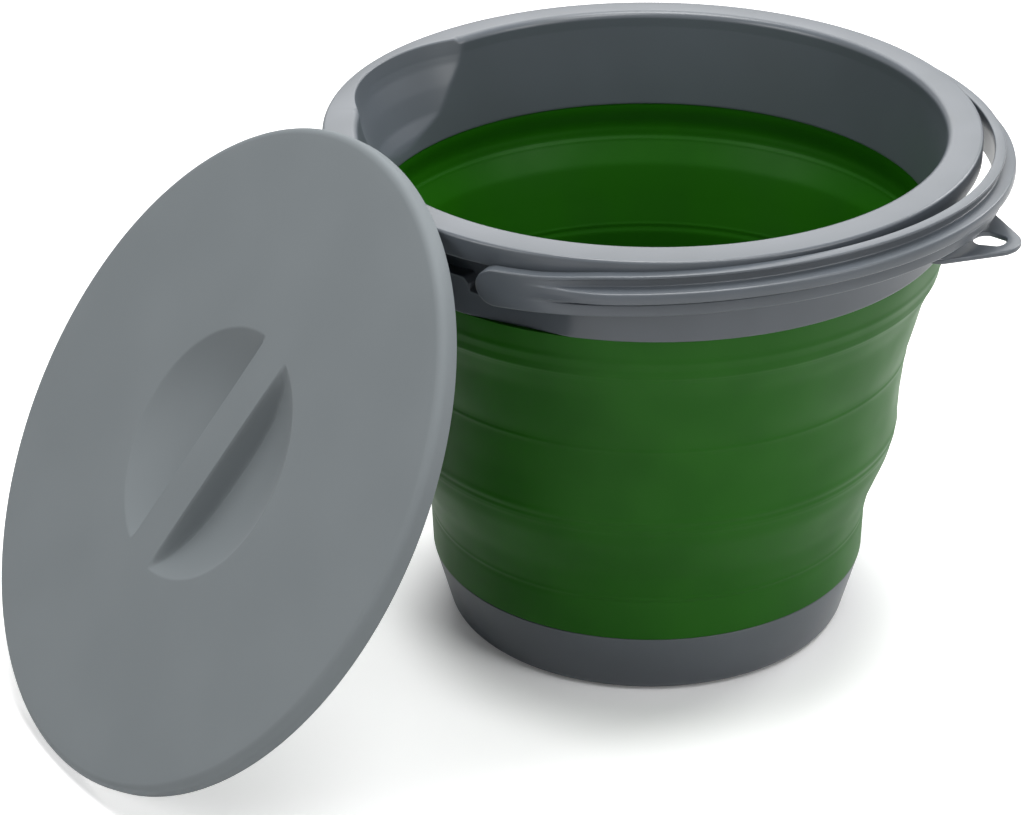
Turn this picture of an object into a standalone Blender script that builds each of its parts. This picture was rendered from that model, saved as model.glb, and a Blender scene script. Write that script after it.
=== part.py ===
"""Collapsible bucket with a spout, a folding bail handle and a loose lid.

A flexible green wall is moulded between a rigid grey base and a rigid grey rim. Two slanted
bands of that wall turn inside out when the bucket is pushed flat, so the base slides up
inside the middle band and the middle band slides up inside the rim. The lid stands on the
floor and leans on the rim's lip.

Frame: +Z up, origin on the floor at the middle of the base. The handle's pivots lie along X,
the handle is folded down towards -Y, and the spout is at +Y.
"""

import math

import bmesh
import bpy
from mathutils import Matrix, Vector

MM = 0.001

# Facets round every turned piece, and clearances between pieces
SEGMENTS = 48
ARC_STEPS = 3
GAP = 0.3 * MM
CUT_MARGIN = 10.0 * MM
PIVOT_PLAY = 0.3 * MM

# Rigid base, a shallow cup
FLOOR_RADIUS = 97.0 * MM
FLOOR_THICKNESS = 3.0 * MM
BASE_ROUND = 6.0 * MM
BASE_FLARE = 8.0 * MM
BASE_HEIGHT = 35.0 * MM
BASE_WALL = 3.0 * MM
BASE_TONGUE_HEIGHT = 5.5 * MM
BASE_TONGUE_WALL = 1.3 * MM

# Flexible wall, from the base up: each band's height and how much wider it gets
SOFT_WALL = 3.0 * MM
FOLD_WALL = 2.2 * MM
LOWER_CUFF_HEIGHT = 23.0 * MM
LOWER_CUFF_FLARE = 0.8 * MM
LOWER_FOLD_HEIGHT = 48.0 * MM
LOWER_FOLD_FLARE = 14.5 * MM
MIDDLE_BAND_HEIGHT = 44.0 * MM
MIDDLE_BAND_FLARE = 3.2 * MM
UPPER_FOLD_HEIGHT = 47.0 * MM
UPPER_FOLD_FLARE = 14.8 * MM
UPPER_CUFF_HEIGHT = 21.2 * MM
UPPER_CUFF_FLARE = 4.2 * MM
BAND_WAIST = 0.5 * MM
LOWER_FOLD_SHAPE = ((0.3, -0.7 * MM), (0.8, 1.1 * MM))
UPPER_FOLD_SHAPE = ((0.3, -0.4 * MM), (0.7, -1.5 * MM))

# Rigid rim: inner throat wall, outer skirt, and the rolled lip on top
RIM_HEIGHT = 47.8 * MM
SKIRT_STEP = 0.5 * MM
SKIRT_DRAFT = 0.4 * MM
RIM_WALL = 2.4 * MM
THROAT_OVERLAP = 2.5 * MM
THROAT_TAPER = 6.7 * MM
CHANNEL_DEPTH = 21.0 * MM
TONGUE_HEIGHT = 10.7 * MM
LIP_OVERHANG = 11.0 * MM
LIP_WIDTH = 13.5 * MM
LIP_THICKNESS = 3.2 * MM
LIP_DROP = 6.5 * MM
LIP_EDGE = 2.5 * MM
LIP_OUTER_ROUND = 3.0 * MM
LIP_INNER_ROUND = 3.5 * MM
LIP_FILLET = 2.0 * MM

# Spout: a scoop in the throat wall that leans out towards the lip
SPOUT_RADIUS = 90.0 * MM
SPOUT_LIP_MARGIN = 5.3 * MM
SPOUT_START = 3.8 * MM
SPOUT_WALL = 2.6 * MM
SPOUT_SEGMENTS = 52

# Hanging tab under the folded handle
TAB_DROP = 27.6 * MM
TAB_THICKNESS = 3.0 * MM
TAB_REACH = 42.0 * MM
TAB_HALF_WIDTH = 33.0 * MM
TAB_SHOULDER_ROUND = 9.0 * MM
TAB_SHOULDER_DROP = 16.0 * MM
TAB_FILLET = 11.0 * MM
TAB_HOLE_RADIUS = 7.2 * MM
TAB_HOLE_SETBACK = 14.2 * MM

# Bail handle: a ribbed band that ends in two round ears with pins
PIVOT_DROP = 18.9 * MM
HANDLE_CLEARANCE = 2.3 * MM
HANDLE_BOW = 7.8 * MM
HANDLE_FLATTENING = 3.8 * MM
HANDLE_HEIGHT = 19.5 * MM
BEAD_DEPTH = 10.0 * MM
TOP_FLANGE_DEPTH = 5.4 * MM
FOOT_FLANGE_DEPTH = 5.6 * MM
EAR_DEPTH = 6.0 * MM
WEB_DEPTH = 3.3 * MM
SMALL_GROOVE_DEPTH = 4.0 * MM
RIB_RUN = 34.0 * MM
HANDLE_STEPS = 44
EAR_STEPS = 4
REST_LIFT = math.radians(2.3)
PIN_RADIUS = 4.5 * MM
PIN_END_GAP = 0.6 * MM
BOSS_RADIUS = 9.0 * MM
BOSS_BACK_WALL = 1.8 * MM
BOSS_FACE_GAP = 1.0 * MM
PIN_SEGMENTS = 20

# Lid, with a finger bar between two scooped recesses
LID_OVERHANG = 6.0 * MM
LID_DEPTH = 9.6 * MM
LID_PLATE = 2.4 * MM
LID_SKIRT_WALL = 2.0 * MM
LID_ROUND = 4.5 * MM
LID_BEARING = math.radians(147.6)
LID_OFFSET = 10.0 * MM
LID_REACH = 19.4 * MM
LEAN_GAP = 0.1 * MM
DISH_RADIUS = 60.0 * MM
DISH_DEPTH = 14.0 * MM
DISH_WALL = 2.2 * MM
BAR_WIDTH = 24.0 * MM
BAR_TURN = math.radians(-10.0)
DISH_RINGS = 5
DISH_SEGMENTS = 32

# Heights of the joints between pieces
BASE_TOP = BASE_HEIGHT
LOWER_CUFF_TOP = BASE_TOP + LOWER_CUFF_HEIGHT
LOWER_FOLD_TOP = LOWER_CUFF_TOP + LOWER_FOLD_HEIGHT
MIDDLE_BAND_TOP = LOWER_FOLD_TOP + MIDDLE_BAND_HEIGHT
UPPER_FOLD_TOP = MIDDLE_BAND_TOP + UPPER_FOLD_HEIGHT
SKIRT_BOTTOM = UPPER_FOLD_TOP + UPPER_CUFF_HEIGHT
RIM_TOP = SKIRT_BOTTOM + RIM_HEIGHT
THROAT_BOTTOM = SKIRT_BOTTOM - THROAT_OVERLAP
CHANNEL_TOP = SKIRT_BOTTOM + CHANNEL_DEPTH
LIP_UNDERSIDE = RIM_TOP - LIP_THICKNESS

# Outer radii at those joints, from the base up
BASE_FOOT_RADIUS = FLOOR_RADIUS + BASE_ROUND
BASE_TOP_RADIUS = BASE_FOOT_RADIUS + BASE_FLARE
LOWER_CUFF_TOP_RADIUS = BASE_TOP_RADIUS + LOWER_CUFF_FLARE
LOWER_FOLD_TOP_RADIUS = LOWER_CUFF_TOP_RADIUS + LOWER_FOLD_FLARE
MIDDLE_BAND_TOP_RADIUS = LOWER_FOLD_TOP_RADIUS + MIDDLE_BAND_FLARE
UPPER_FOLD_TOP_RADIUS = MIDDLE_BAND_TOP_RADIUS + UPPER_FOLD_FLARE
CUFF_TOP_RADIUS = UPPER_FOLD_TOP_RADIUS + UPPER_CUFF_FLARE
SKIRT_RADIUS = CUFF_TOP_RADIUS + SKIRT_STEP
RIM_RADIUS = SKIRT_RADIUS + LIP_OVERHANG
THROAT_TOP_RADIUS = RIM_RADIUS - LIP_WIDTH
THROAT_BOTTOM_RADIUS = THROAT_TOP_RADIUS - THROAT_TAPER

# Handle and lid sizes that follow the rim
PIVOT_HEIGHT = RIM_TOP - PIVOT_DROP
EAR_INNER = RIM_RADIUS + HANDLE_CLEARANCE
TAB_TOP = RIM_TOP - TAB_DROP
LID_RADIUS = RIM_RADIUS + LID_OVERHANG

SIDES = (("left", -1.0), ("right", 1.0))

# Finishes: colour, roughness
GREY = ("grey_polypropylene", (0.150, 0.165, 0.180), 0.42)
LID_GREY = ("lid_polypropylene", (0.185, 0.205, 0.212), 0.55)
GREEN = ("green_thermoplastic_rubber", (0.030, 0.130, 0.022), 0.48)


def clear_scene():
    """Remove every object, so that only this model is left."""
    for thing in list(bpy.data.objects):
        bpy.data.objects.remove(thing, do_unlink=True)


def finish_material(finish):
    """Return the plastic for a finish, made once."""
    name, colour, roughness = finish
    material = bpy.data.materials.get(name)
    if material is None:
        material = bpy.data.materials.new(name)
        material.use_nodes = True
        shader = material.node_tree.nodes["Principled BSDF"]
        shader.inputs["Base Color"].default_value = (*colour, 1.0)
        shader.inputs["Roughness"].default_value = roughness
        shader.inputs["Metallic"].default_value = 0.0
    return material


def arc(centre, radius, start, end, steps=ARC_STEPS):
    """Points of an arc, angles in degrees, both ends included."""
    points = []
    for step in range(steps + 1):
        angle = math.radians(start + (end - start) * step / steps)
        points.append((centre[0] + radius * math.cos(angle), centre[1] + radius * math.sin(angle)))
    return points


def throat_radius(height):
    """Inner radius of the rim's throat wall at a height."""
    top = RIM_TOP - LIP_INNER_ROUND
    share = (height - THROAT_BOTTOM) / (top - THROAT_BOTTOM)
    return THROAT_BOTTOM_RADIUS + share * THROAT_TAPER


def mesh_object(name, bm, finish):
    """Turn a bmesh into a named, smooth-shaded object with its faces pointing out."""
    bmesh.ops.recalc_face_normals(bm, faces=bm.faces)
    if bm.calc_volume(signed=True) < 0.0:
        bmesh.ops.reverse_faces(bm, faces=bm.faces)
    mesh = bpy.data.meshes.new(name)
    bm.to_mesh(mesh)
    bm.free()
    mesh.shade_smooth()
    mesh.set_sharp_from_angle(angle=math.radians(35.0))
    thing = bpy.data.objects.new(name, mesh)
    bpy.context.collection.objects.link(thing)
    if finish is not None:
        mesh.materials.append(finish_material(finish))
    return thing


def turned(name, profile, finish=None, segments=SEGMENTS):
    """Turn a closed outline of (radius, height) points about Z."""
    bm = bmesh.new()
    rings = []
    for radius, height in profile:
        if radius == 0.0:
            rings.append([bm.verts.new((0.0, 0.0, height))])
            continue
        ring = []
        for step in range(segments):
            angle = 2.0 * math.pi * step / segments
            ring.append(bm.verts.new((radius * math.cos(angle), radius * math.sin(angle), height)))
        rings.append(ring)
    for index, lower in enumerate(rings):
        upper = rings[(index + 1) % len(rings)]
        if len(lower) == 1 and len(upper) == 1:
            continue
        for step in range(segments):
            after = (step + 1) % segments
            corners = [lower[step % len(lower)], lower[after % len(lower)],
                       upper[after % len(upper)], upper[step % len(upper)]]
            bm.faces.new(list(dict.fromkeys(corners)))
    return mesh_object(name, bm, finish)


def lofted(name, rings, finish=None):
    """Skin a row of rings with equal point counts and cap both ends."""
    bm = bmesh.new()
    rows = [[bm.verts.new(point) for point in ring] for ring in rings]
    count = len(rows[0])
    for first, second in zip(rows, rows[1:]):
        for step in range(count):
            after = (step + 1) % count
            bm.faces.new((first[step], first[after], second[after], second[step]))
    bm.faces.new(rows[0])
    bm.faces.new(rows[-1])
    return mesh_object(name, bm, finish)


def combine(target, tool, operation):
    """Union, difference or intersection with a hidden tool object."""
    tool.hide_render = True
    tool.display_type = "WIRE"
    change = target.modifiers.new(f"{operation.lower()} {tool.name}", "BOOLEAN")
    change.operation = operation
    change.solver = "EXACT"
    change.object = tool


def circle(centre, radius, height, segments):
    """Points of a level circle."""
    return [(centre[0] + radius * math.cos(2.0 * math.pi * step / segments),
             centre[1] + radius * math.sin(2.0 * math.pi * step / segments),
             height) for step in range(segments)]


def rod_along_x(name, start, end, radius, height):
    """A round rod along X at a height."""
    rings = []
    for x in (start, end):
        rings.append([(x, y, z + height) for y, z, _ in circle((0.0, 0.0), radius, 0.0, PIN_SEGMENTS)])
    return lofted(name, rings)


def build_base():
    """Rigid cup with a thin tongue on top that the flexible wall is moulded over."""
    tongue_outer = BASE_TOP_RADIUS - BASE_WALL + BASE_TONGUE_WALL
    inner_round = BASE_ROUND - BASE_WALL / 2.0
    profile = [(0.0, 0.0)]
    profile += arc((FLOOR_RADIUS, BASE_ROUND), BASE_ROUND, -90.0, 0.0)
    profile += [(BASE_TOP_RADIUS, BASE_TOP),
                (tongue_outer, BASE_TOP),
                (tongue_outer, BASE_TOP + BASE_TONGUE_HEIGHT),
                (BASE_TOP_RADIUS - BASE_WALL, BASE_TOP + BASE_TONGUE_HEIGHT),
                (BASE_TOP_RADIUS - BASE_WALL, BASE_TOP)]
    corner = (BASE_FOOT_RADIUS - BASE_WALL - inner_round, FLOOR_THICKNESS + inner_round)
    profile += arc(corner, inner_round, 0.0, -90.0, 3)
    profile += [(0.0, FLOOR_THICKNESS)]
    return turned("base", profile, GREY)


def build_lower_cuff():
    """Wall band moulded over the base's tongue."""
    tongue_outer = BASE_TOP_RADIUS - BASE_WALL + BASE_TONGUE_WALL + GAP
    tongue_top = BASE_TOP + BASE_TONGUE_HEIGHT + GAP
    top = LOWER_CUFF_TOP - GAP / 2.0
    profile = [(BASE_TOP_RADIUS, BASE_TOP + GAP),
               (LOWER_CUFF_TOP_RADIUS, top),
               (LOWER_CUFF_TOP_RADIUS - SOFT_WALL, top),
               (BASE_TOP_RADIUS - BASE_WALL, tongue_top),
               (tongue_outer, tongue_top),
               (tongue_outer, BASE_TOP + GAP)]
    return turned("wall_lower_cuff", profile, GREEN)


def build_fold(name, bottom, top, shape):
    """A thin slanted band that turns inside out when the bucket is pushed flat."""
    (low_radius, low), (high_radius, high) = bottom, top
    inset = (SOFT_WALL - FOLD_WALL) / 2.0
    outer = []
    for share, lean in ((0.0, 0.0), *shape, (1.0, 0.0)):
        radius = low_radius + share * (high_radius - low_radius) - inset + lean
        height = low + GAP / 2.0 + share * (high - low - GAP)
        outer.append((radius, height))
    inner = [(radius - FOLD_WALL, height) for radius, height in reversed(outer)]
    return turned(name, outer + inner, GREEN)


def build_middle_band():
    """The stiffer band between the two folds."""
    bottom = LOWER_FOLD_TOP + GAP / 2.0
    top = MIDDLE_BAND_TOP - GAP / 2.0
    waist = (LOWER_FOLD_TOP_RADIUS + MIDDLE_BAND_TOP_RADIUS) / 2.0 - BAND_WAIST
    outer = [(LOWER_FOLD_TOP_RADIUS, bottom), (waist, (bottom + top) / 2.0), (MIDDLE_BAND_TOP_RADIUS, top)]
    inner = [(radius - SOFT_WALL, height) for radius, height in reversed(outer)]
    return turned("wall_middle_band", outer + inner, GREEN)


def build_upper_cuff():
    """Wall band whose tongue fills the channel between the rim's throat and its skirt."""
    bottom = UPPER_FOLD_TOP + GAP / 2.0
    shoulder = THROAT_BOTTOM - GAP
    skirt_inner = SKIRT_RADIUS - RIM_WALL
    tongue_top = SKIRT_BOTTOM + TONGUE_HEIGHT
    profile = [(UPPER_FOLD_TOP_RADIUS, bottom),
               (CUFF_TOP_RADIUS, SKIRT_BOTTOM - GAP),
               (skirt_inner - GAP, SKIRT_BOTTOM - GAP),
               (skirt_inner - GAP, tongue_top),
               (throat_radius(tongue_top) + RIM_WALL + GAP, tongue_top),
               (throat_radius(shoulder) + RIM_WALL + GAP, shoulder),
               (throat_radius(shoulder), shoulder),
               (UPPER_FOLD_TOP_RADIUS - SOFT_WALL, (bottom + shoulder) / 2.0),
               (UPPER_FOLD_TOP_RADIUS - SOFT_WALL, bottom)]
    return turned("wall_upper_cuff", profile, GREEN)


def rim_blank():
    """Rim before the throat is cut: skirt, channel and rolled lip."""
    skirt_inner = SKIRT_RADIUS - RIM_WALL
    skirt_top = SKIRT_RADIUS + SKIRT_DRAFT
    edge_inner = RIM_RADIUS - LIP_EDGE
    drop = RIM_TOP - LIP_DROP
    spare = RIM_WALL
    profile = [(SKIRT_RADIUS, SKIRT_BOTTOM)]
    profile += arc((skirt_top + LIP_FILLET, LIP_UNDERSIDE - LIP_FILLET), LIP_FILLET, 180.0, 90.0, 2)
    profile += [(edge_inner, LIP_UNDERSIDE), (edge_inner, drop), (RIM_RADIUS, drop)]
    profile += arc((RIM_RADIUS - LIP_OUTER_ROUND, RIM_TOP - LIP_OUTER_ROUND), LIP_OUTER_ROUND, 0.0, 90.0)
    profile += [(THROAT_TOP_RADIUS - spare, RIM_TOP),
                (THROAT_BOTTOM_RADIUS - spare, THROAT_BOTTOM),
                (throat_radius(THROAT_BOTTOM) + RIM_WALL, THROAT_BOTTOM),
                (throat_radius(CHANNEL_TOP) + RIM_WALL, CHANNEL_TOP),
                (skirt_inner, CHANNEL_TOP),
                (skirt_inner, SKIRT_BOTTOM)]
    return turned("rim", profile, GREY)


def throat_cutter():
    """Everything inside the throat, with the lip's inner round."""
    low = THROAT_BOTTOM - CUT_MARGIN
    corner = (THROAT_TOP_RADIUS + LIP_INNER_ROUND, RIM_TOP - LIP_INNER_ROUND)
    profile = [(0.0, low), (throat_radius(low), low)]
    profile += arc(corner, LIP_INNER_ROUND, 180.0, 90.0, 3)
    profile += [(corner[0], RIM_TOP + CUT_MARGIN), (0.0, RIM_TOP + CUT_MARGIN)]
    return turned("throat_cutter", profile)


def spout_solid(name, radius, low, high):
    """Leaning round solid whose front touches the throat at the start and nears the lip on top."""
    start = THROAT_BOTTOM + SPOUT_START
    start_front = throat_radius(start)
    top_front = RIM_RADIUS - SPOUT_LIP_MARGIN
    lean = (top_front - start_front) / (RIM_TOP - start)
    rings = []
    for height in (low, high):
        front = start_front + lean * (height - start)
        rings.append(circle((0.0, front - SPOUT_RADIUS), radius, height, SPOUT_SEGMENTS))
    return lofted(name, rings)


def tab_outline():
    """Plan of the hanging tab: round tip, rounded shoulders and fillets into the skirt."""
    tip = (0.0, SKIRT_RADIUS + TAB_REACH - TAB_HOLE_SETBACK)
    shoulder = (TAB_HALF_WIDTH - TAB_SHOULDER_ROUND, tip[1] - TAB_SHOULDER_DROP)
    run = math.hypot(shoulder[0] - tip[0], shoulder[1] - tip[1])
    fall = math.degrees(math.atan2(shoulder[1] - tip[1], shoulder[0] - tip[0]))
    tangent = fall + math.degrees(math.acos((TAB_HOLE_SETBACK - TAB_SHOULDER_ROUND) / run))
    foot = TAB_HALF_WIDTH + TAB_FILLET
    corner = (foot, math.sqrt(SKIRT_RADIUS ** 2 - foot ** 2) + TAB_FILLET)
    half = arc(tip, TAB_HOLE_SETBACK, 90.0, tangent, 4)
    half += arc(shoulder, TAB_SHOULDER_ROUND, tangent, 0.0, 3)
    half += arc(corner, TAB_FILLET, 180.0, 270.0, 3)
    half.append((foot, corner[1] - TAB_FILLET - RIM_WALL / 2.0))
    left = [(-x, y) for x, y in reversed(half[1:])]
    return [(x, -y) for x, y in half + [(0.0, half[-1][1])] + left]


def hanging_tab():
    """Flat tab with a hanging hole, joined to the rim."""
    outline = tab_outline()
    rings = [[(x, y, height) for x, y in outline] for height in (TAB_TOP - TAB_THICKNESS, TAB_TOP)]
    return lofted("tab_solid", rings)


def tab_hole():
    """Cutter for the hanging hole."""
    centre = (0.0, TAB_HOLE_SETBACK - SKIRT_RADIUS - TAB_REACH)
    reach = TAB_THICKNESS
    rings = [circle(centre, TAB_HOLE_RADIUS, height, 24)
             for height in (TAB_TOP - TAB_THICKNESS - reach, TAB_TOP + reach)]
    return lofted("tab_hole_cutter", rings)


def build_rim():
    """Rim with lip, throat, spout, hanging tab and the two pivot bosses."""
    rim = rim_blank()
    above_tongue = SKIRT_BOTTOM + TONGUE_HEIGHT + 2.0 * GAP
    bulge = spout_solid("spout_shell", SPOUT_RADIUS + SPOUT_WALL, above_tongue, LIP_UNDERSIDE + GAP)
    combine(rim, bulge, "UNION")
    combine(rim, hanging_tab(), "UNION")
    for name, side in SIDES:
        root = side * (SKIRT_RADIUS - RIM_WALL / 2.0)
        face = side * (EAR_INNER - BOSS_FACE_GAP)
        combine(rim, rod_along_x(f"boss_{name}", root, face, BOSS_RADIUS, PIVOT_HEIGHT), "UNION")
    combine(rim, throat_cutter(), "DIFFERENCE")
    spout_low = THROAT_BOTTOM + SPOUT_START - CUT_MARGIN
    scoop = spout_solid("spout_cutter", SPOUT_RADIUS, spout_low, RIM_TOP + CUT_MARGIN)
    combine(rim, scoop, "DIFFERENCE")
    combine(rim, tab_hole(), "DIFFERENCE")
    for name, side in SIDES:
        back = side * (SKIRT_RADIUS + BOSS_BACK_WALL)
        mouth = side * (EAR_INNER + CUT_MARGIN)
        bore = rod_along_x(f"bore_{name}", back, mouth, PIN_RADIUS + PIVOT_PLAY, PIVOT_HEIGHT)
        combine(rim, bore, "DIFFERENCE")
    return rim


def handle_section(ribbed, half_height):
    """Cross-section points (outward, up) from a flat pad (0) to the full ribs (1)."""
    def blend(depth):
        return EAR_DEPTH + (depth - EAR_DEPTH) * ribbed
    top, bead, web = blend(TOP_FLANGE_DEPTH), blend(BEAD_DEPTH), blend(WEB_DEPTH)
    foot, groove = blend(FOOT_FLANGE_DEPTH), blend(SMALL_GROOVE_DEPTH)
    shape = [(0.0, -1.0), (foot, -1.0), (foot, -0.40), (groove, -0.38), (groove, -0.27), (bead, -0.22),
             (bead, 0.28), (web, 0.33), (web, 0.78), (top, 0.82), (top, 1.0), (0.0, 1.0)]
    return [(out, up * half_height) for out, up in shape]


def handle_radius(angle):
    """Inner radius of the bail's plan at an angle from its middle."""
    flattening = HANDLE_FLATTENING * math.sin(2.0 * angle) ** 2
    return EAR_INNER + HANDLE_BOW * math.cos(angle) ** 2 - flattening


def handle_place(angle):
    """Point on the bail's inner edge and its outward direction, angle from the middle."""
    def point(turn):
        radius = handle_radius(turn)
        return Vector((radius * math.sin(turn), -radius * math.cos(turn), 0.0))
    step = math.pi / HANDLE_STEPS
    along = point(angle + step) - point(angle - step)
    return point(angle), Vector((along.y, -along.x, 0.0)).normalized()


def build_handle():
    """Bail swept from ear to ear, modelled flat about its pivot axis, then lifted to rest."""
    half = HANDLE_HEIGHT / 2.0
    quarter = math.pi / 2.0
    ear = []
    for step in range(EAR_STEPS):
        turn = quarter * (1.0 - (step + 0.5) / (EAR_STEPS + 0.5))
        ear.append((half * math.sin(turn), half * math.cos(turn)))
    stations = [(-quarter, back, height) for back, height in ear]
    stations += [(math.pi * step / HANDLE_STEPS - quarter, 0.0, half) for step in range(HANDLE_STEPS + 1)]
    stations += [(quarter, back, height) for back, height in reversed(ear)]
    rings = []
    for angle, back, half_height in stations:
        inner, outward = handle_place(angle)
        ribbed = min(1.0, max(0.0, (-inner.y - half) / RIB_RUN))
        ribbed = ribbed * ribbed * (3.0 - 2.0 * ribbed)
        inner.y += back
        ring = []
        for out, up in handle_section(ribbed, half_height):
            place = inner + outward * out
            ring.append((place.x, place.y, up))
        rings.append(ring)
    handle = lofted("handle", rings, GREY)
    for name, side in SIDES:
        start = side * (EAR_INNER + EAR_DEPTH / 2.0)
        end = side * (SKIRT_RADIUS + BOSS_BACK_WALL + PIN_END_GAP)
        pin = rod_along_x(f"pin_{name}", start, end, PIN_RADIUS, 0.0)
        combine(handle, pin, "UNION")
        pin.parent = handle
    handle.location = (0.0, 0.0, PIVOT_HEIGHT)
    handle.rotation_euler = (-REST_LIFT, 0.0, 0.0)
    return handle


def lid_lean():
    """Elevation of the lid's outward normal when it stands on the floor and rests on the lip."""
    along = 2.0 * LID_RADIUS - LID_REACH
    across = LID_DEPTH - LID_PLATE - LIP_OUTER_ROUND
    rise = RIM_TOP - LIP_OUTER_ROUND
    share = min(1.0, rise / math.hypot(along, across))
    return math.atan2(across, along) + math.acos(share)


def lid_matrix():
    """Place the lid: its lowest edge on the floor, its underside against the lip."""
    lean = lid_lean()
    height = LID_RADIUS * math.cos(lean) + LID_DEPTH * math.sin(lean)
    lip = ((RIM_RADIUS - LIP_OUTER_ROUND) * math.cos(lean)
           + (RIM_TOP - LIP_OUTER_ROUND) * math.sin(lean) + LIP_OUTER_ROUND)
    distance = (lip + LEAN_GAP + LID_PLATE - height * math.sin(lean)) / math.cos(lean)
    outward = Vector((math.cos(LID_BEARING), math.sin(LID_BEARING), 0.0))
    sideways = Vector((-math.sin(LID_BEARING), math.cos(LID_BEARING), 0.0))
    place = outward * distance - sideways * LID_OFFSET + Vector((0.0, 0.0, height))
    turn = Matrix.Rotation(LID_BEARING + math.pi / 2.0, 4, "Z") @ Matrix.Rotation(math.pi / 2.0 - lean, 4, "X")
    return Matrix.Translation(place) @ turn


def half_dish(name, side, edge, spare):
    """One half of a round scoop below the face, flat on the side of the finger bar."""
    depth = DISH_DEPTH + spare
    rim = DISH_RADIUS + spare
    ball = (rim * rim + depth * depth) / (2.0 * depth)
    top = LID_PLATE / 2.0 if spare == 0.0 else -LID_PLATE / 2.0
    start = math.acos((ball - depth - top) / ball)
    profile = [(0.0, top)]
    for step in range(DISH_RINGS + 1):
        angle = start * (1.0 - step / DISH_RINGS)
        profile.append((ball * math.sin(angle), ball - depth - ball * math.cos(angle)))
    dish = turned(name, profile, segments=DISH_SEGMENTS)
    bm = bmesh.new()
    bm.from_mesh(dish.data)
    parts = bm.verts[:] + bm.edges[:] + bm.faces[:]
    cut = bmesh.ops.bisect_plane(bm, geom=parts, plane_co=(side * edge, 0.0, 0.0),
                                 plane_no=(-side, 0.0, 0.0), clear_outer=True)
    loop = [item for item in cut["geom_cut"] if isinstance(item, bmesh.types.BMEdge)]
    bmesh.ops.contextual_create(bm, geom=loop)
    bmesh.ops.recalc_face_normals(bm, faces=bm.faces)
    bm.to_mesh(dish.data)
    bm.free()
    dish.rotation_euler = (0.0, 0.0, BAR_TURN)
    return dish


def build_lid():
    """Flat lid with a turned-down edge and two scooped finger recesses."""
    inner = LID_RADIUS - LID_SKIRT_WALL
    profile = [(0.0, 0.0), (0.0, -LID_PLATE), (inner - LID_ROUND / 2.0, -LID_PLATE),
               (inner, -LID_PLATE - LID_ROUND / 2.0), (inner, -LID_DEPTH), (LID_RADIUS, -LID_DEPTH)]
    profile += arc((LID_RADIUS - LID_ROUND, -LID_ROUND), LID_ROUND, 0.0, 90.0)
    lid = turned("lid", profile, LID_GREY)
    half_bar = BAR_WIDTH / 2.0
    for name, side in SIDES:
        shell = half_dish(f"dish_shell_{name}", side, half_bar - DISH_WALL, DISH_WALL)
        combine(lid, shell, "UNION")
        shell.parent = lid
    for name, side in SIDES:
        scoop = half_dish(f"dish_cutter_{name}", side, half_bar, 0.0)
        combine(lid, scoop, "DIFFERENCE")
        scoop.parent = lid
    lid.matrix_world = lid_matrix()
    return lid


def main():
    """Build every piece."""
    clear_scene()
    build_base()
    build_lower_cuff()
    build_fold("wall_lower_fold", (LOWER_CUFF_TOP_RADIUS, LOWER_CUFF_TOP),
               (LOWER_FOLD_TOP_RADIUS, LOWER_FOLD_TOP), LOWER_FOLD_SHAPE)
    build_middle_band()
    build_fold("wall_upper_fold", (MIDDLE_BAND_TOP_RADIUS, MIDDLE_BAND_TOP),
               (UPPER_FOLD_TOP_RADIUS, UPPER_FOLD_TOP), UPPER_FOLD_SHAPE)
    build_upper_cuff()
    build_rim()
    build_handle()
    build_lid()


main()
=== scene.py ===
"""Looks of a collapsible bucket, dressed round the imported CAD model.

A green rubber wall folds between a rigid grey base and a rigid grey rim. The rim carries a
pouring spout, a hanging tab and a folding bail, and a loose lid leans on its lip. Sizes are in
millimetres here and turn to metres when a mesh is made. The frame is the CAD model's own: +Z up,
the bail's pivots along X, the folded bail and the tab towards -Y, the spout towards +Y.
"""

from __future__ import annotations

import logging
import math
from collections.abc import Callable, Mapping, Sequence
from dataclasses import dataclass, field
from enum import Enum

import bmesh
import bpy
import numpy as np
from mathutils import Matrix, Vector


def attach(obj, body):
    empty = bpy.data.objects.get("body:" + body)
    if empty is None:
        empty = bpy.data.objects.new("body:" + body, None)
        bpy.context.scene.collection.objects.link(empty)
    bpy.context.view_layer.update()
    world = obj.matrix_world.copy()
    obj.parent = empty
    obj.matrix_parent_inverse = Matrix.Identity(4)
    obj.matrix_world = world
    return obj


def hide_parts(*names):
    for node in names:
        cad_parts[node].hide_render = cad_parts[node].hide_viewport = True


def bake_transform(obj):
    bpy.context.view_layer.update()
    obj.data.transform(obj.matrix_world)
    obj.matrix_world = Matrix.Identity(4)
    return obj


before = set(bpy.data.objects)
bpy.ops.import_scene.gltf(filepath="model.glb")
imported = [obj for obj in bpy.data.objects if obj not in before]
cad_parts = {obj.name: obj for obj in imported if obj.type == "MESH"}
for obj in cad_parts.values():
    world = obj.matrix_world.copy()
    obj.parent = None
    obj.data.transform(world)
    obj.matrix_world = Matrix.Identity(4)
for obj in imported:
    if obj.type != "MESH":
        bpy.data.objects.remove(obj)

MM = 0.001
CREASE_DEGREES = 36.0
WELD_DISTANCE = 0.004
LONGEST_REACH = 0.49  # share of a side that the round of one corner may take
STRAIGHT_TURN = 0.01  # radians below which a corner counts as straight
FLOW_RANGE = (0.2, 0.8)  # where the noise of the flow marks starts and ends
WHITE = "#ffffff"
log = logging.getLogger("bucket")

Numbers = np.ndarray | float
Pairs = tuple[tuple[float, float], ...]
Triple = tuple[float, float, float]
Socket = bpy.types.NodeSocket


class Body(Enum):
    """The moving bodies of the CAD model that a piece can ride on."""

    BASE = "bucket_base"
    MIDDLE = "bucket_middle"
    RIM = "bucket_rim"
    BAIL = "bail"
    LID = "loose_lid"


class Slot(Enum):
    """Names of the material slots."""

    GREY = "grey_polypropylene"
    LID = "lid_polypropylene"
    GREEN = "green_rubber"


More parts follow.
